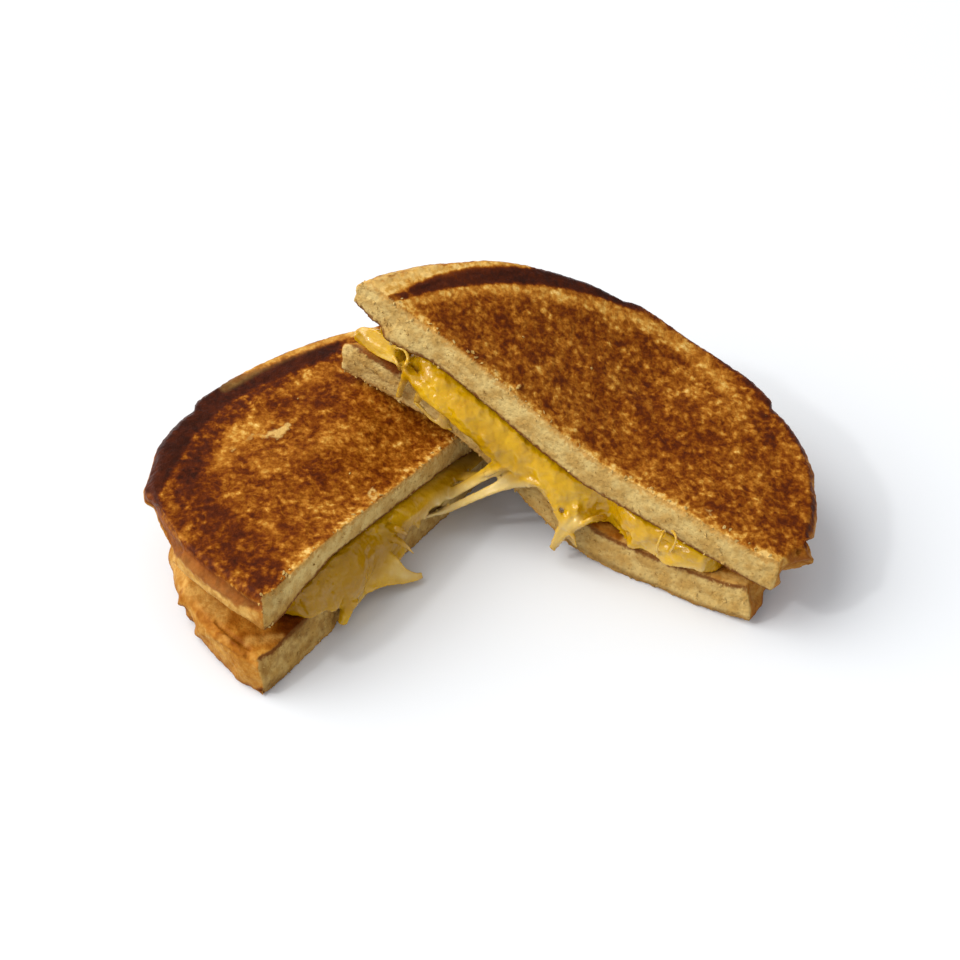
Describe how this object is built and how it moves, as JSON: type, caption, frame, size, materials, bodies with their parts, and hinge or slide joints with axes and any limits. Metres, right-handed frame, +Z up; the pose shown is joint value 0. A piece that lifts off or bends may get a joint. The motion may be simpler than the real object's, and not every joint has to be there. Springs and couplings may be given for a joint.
{
  "type": "grilled cheese sandwich",
  "caption": "Toasted cheese sandwich cut in half, one half leaning on the other, with melted cheese stretched between the cut faces.",
  "frame": {"origin": "middle of the sandwich's footprint, on the surface it lies on", "axes": "+Z up; +X from the half that lies flat towards the half that leans on it; the open notch between the halves faces -Y"},
  "size_m": [0.1636, 0.1068, 0.0639],
  "materials": {
    "toasted_bread": "pan-toasted bread: brown mottled faces, a darker burnt ring inside the crust, pale porous crumb on the cut",
    "melted_cheese": "melted yellow cheese, smooth and glossy, paler and translucent where it is stretched thin"
  },
  "bodies": {
    "root": {"left_bottom_bread": "toasted_bread", "left_top_bread": "toasted_bread", "right_bottom_bread": "toasted_bread", "right_top_bread": "toasted_bread", "cheese": "melted_cheese"}
  },
  "joints": []
}
